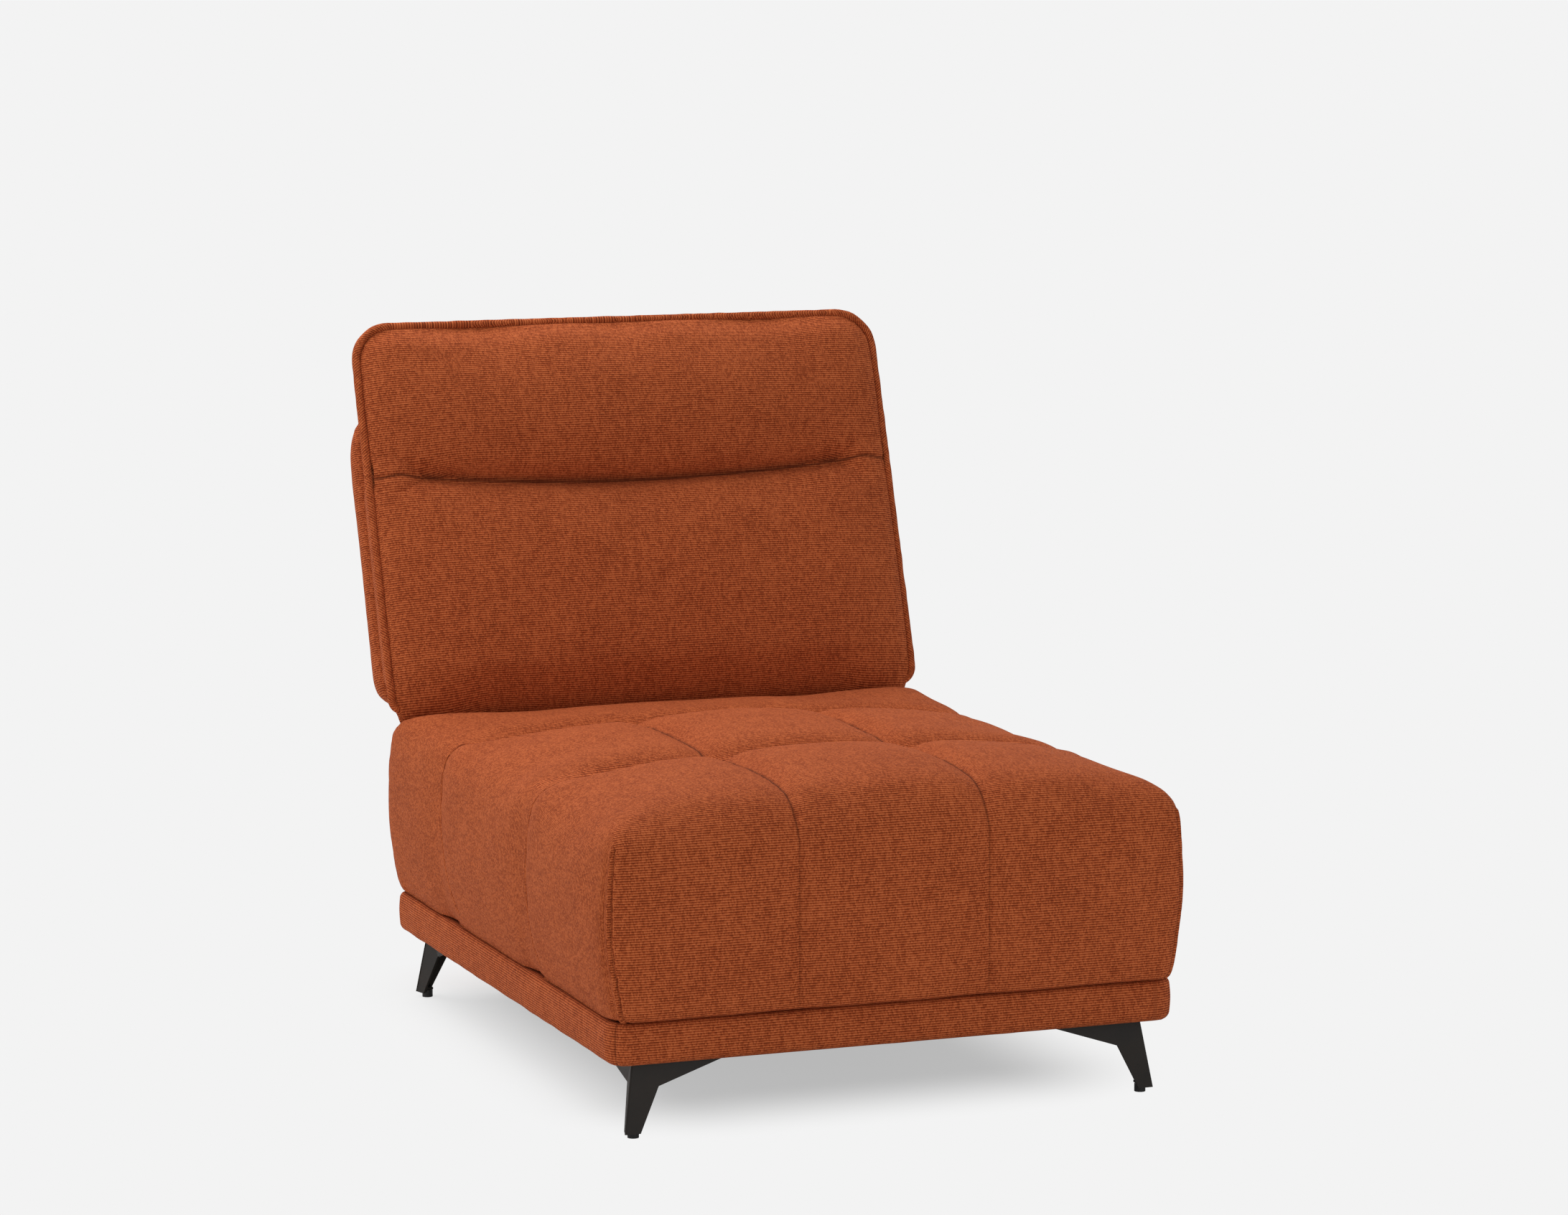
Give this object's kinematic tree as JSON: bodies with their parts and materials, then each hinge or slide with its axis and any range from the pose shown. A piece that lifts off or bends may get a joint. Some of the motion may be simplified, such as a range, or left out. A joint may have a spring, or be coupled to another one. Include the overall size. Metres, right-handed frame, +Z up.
{
  "type": "armless reclining lounge chair",
  "caption": "Armless upholstered lounge chair with a deep tufted seat on a padded plinth, folded steel legs, a reclining back and a tilting headrest.",
  "frame": {"origin": "On the floor, under the centre of the overall box", "axes": "The chair faces -Y, +X is to the right seen from the front, +Z is up"},
  "size_m": [0.8747, 1.2758, 1.024],
  "materials": {
    "upholstery": "ribbed woven cloth, matt",
    "leg_steel": "fine powder coat, satin",
    "frame_wood": "planed, bare",
    "plywood": "sawn sheet, bare",
    "foam": "open-cell foam, matt",
    "webbing": "elastic strap, matt",
    "dust_cloth": "thin non-woven cloth, matt",
    "hinge_steel": "zinc plated",
    "pin_steel": "bright turned",
    "fastener_steel": "zinc plated",
    "washer_plastic": "nylon, natural",
    "glide_plastic": "moulded, matt"
  },
  "bodies": {
    "base": {"base_rail_front": "frame_wood", "base_rail_rear": "frame_wood", "base_rail_left": "frame_wood", "base_rail_right": "frame_wood", "base_cross_rails": "frame_wood", "corner_blocks": "frame_wood", "plinth_band_front": "upholstery", "plinth_band_rear": "upholstery", "plinth_band_left": "upholstery", "plinth_band_right": "upholstery", "seat_box_front": "plywood", "seat_box_rear": "plywood", "seat_box_left": "plywood", "seat_box_right": "plywood", "seat_webbing": "webbing", "seat_foam_core": "foam", "seat_cushion": "upholstery", "dust_cover": "dust_cloth", "leg_front_left": "leg_steel", "leg_front_right": "leg_steel", "leg_rear_left": "leg_steel", "leg_rear_right": "leg_steel", "leg_bolts": "fastener_steel", "leg_glides": "glide_plastic", "recline_bracket_left": "hinge_steel", "recline_bracket_right": "hinge_steel", "bracket_bolts": "fastener_steel", "recline_pins": "pin_steel", "recline_washers": "washer_plastic"},
    "backrest": {"back_stile_left": "frame_wood", "back_stile_right": "frame_wood", "back_rail_bottom": "frame_wood", "back_rail_top": "frame_wood", "back_webbing": "webbing", "back_foam_core": "foam", "back_cushion": "upholstery", "back_piping": "upholstery", "rear_panel_board": "plywood", "rear_panel_pad": "upholstery", "recline_arm_left": "hinge_steel", "recline_arm_right": "hinge_steel", "recline_arm_screws": "fastener_steel", "tilt_hinge_base_left": "hinge_steel", "tilt_hinge_base_right": "hinge_steel", "tilt_base_screws": "fastener_steel", "tilt_pins": "pin_steel", "tilt_washers": "washer_plastic"},
    "headrest": {"headrest_stile_left": "frame_wood", "headrest_stile_right": "frame_wood", "headrest_rail": "frame_wood", "headrest_board": "plywood", "headrest_foam_core": "foam", "headrest_cushion": "upholstery", "headrest_piping": "upholstery", "headrest_back_cover": "upholstery", "tilt_hinge_arm_left": "hinge_steel", "tilt_hinge_arm_right": "hinge_steel", "tilt_arm_screws": "fastener_steel"}
  },
  "joints": [
    {"name": "backrest_recline", "type": "hinge", "parent": "base", "child": "backrest", "pos_m": [0, 0.41112, 0.44098], "axis": [-1, 0, 0], "range_deg": [0, 30]},
    {"name": "headrest_tilt", "type": "hinge", "parent": "backrest", "child": "headrest", "pos_m": [0, 0.48873, 0.78245], "axis": [1, 0, 0], "range_deg": [0, 36]}
  ]
}
